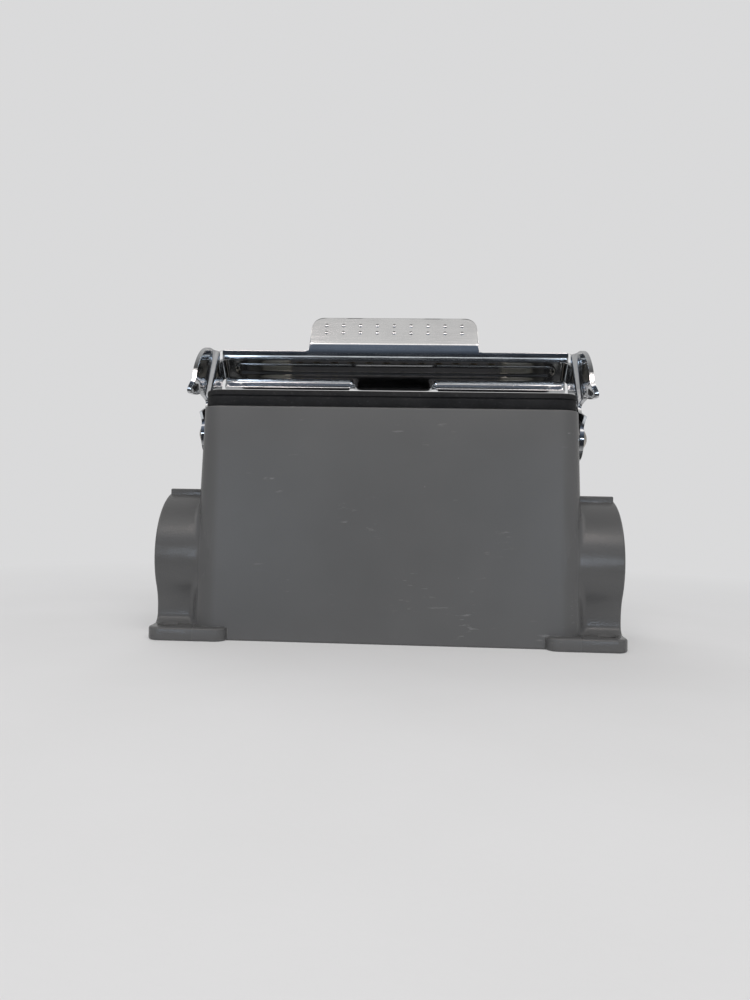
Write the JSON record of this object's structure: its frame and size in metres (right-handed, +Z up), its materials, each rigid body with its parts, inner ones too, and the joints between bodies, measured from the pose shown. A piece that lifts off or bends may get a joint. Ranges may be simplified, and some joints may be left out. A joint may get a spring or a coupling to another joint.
{
  "type": "heavy duty rectangular connector base housing",
  "caption": "Surface-mounting base of a heavy duty rectangular connector: die-cast housing with side cable entries, rim seal, socket insert and a swinging locking lever.",
  "frame": {"origin": "centre of the mounting face, midway between the feet", "axes": "+X along the housing's length and the cable entries' axis, +Y across it away from the viewed long side, +Z up out of the mating opening"},
  "size_m": [0.1494, 0.0552, 0.1123],
  "materials": {
    "housing": "powder-coated dark grey, finely textured",
    "seal": "matte black",
    "lever": "bright plated sheet steel",
    "rivets": "plated, slightly worn",
    "washers": "plated",
    "insert": "moulded, light grain",
    "insert_rear": "moulded, light grain",
    "contacts": "plated, satin",
    "earth_metal": "plated, satin",
    "screws": "zinc plated"
  },
  "bodies": {
    "housing": {"housing": "housing", "rim_seal": "seal", "pivot_rivet_left": "rivets", "pivot_rivet_right": "rivets", "pivot_washer_left": "washers", "pivot_washer_right": "washers", "insert_body": "insert", "terminal_carrier": "insert_rear", "socket_contacts": "contacts", "terminal_screws": "screws", "earth_plate_left": "earth_metal", "earth_plate_right": "earth_metal", "earth_clamp_left": "screws", "earth_clamp_right": "screws", "earth_screw_left": "screws", "earth_screw_right": "screws", "fixing_screws": "screws", "fixing_washers": "washers"},
    "lever": {"locking_lever": "lever"}
  },
  "joints": [
    {"name": "lever_pivot", "type": "hinge", "parent": "housing", "child": "lever", "pos_m": [0, 0, 0.0673], "axis": [-1, 0, 0], "range_deg": [-110, 70]}
  ]
}
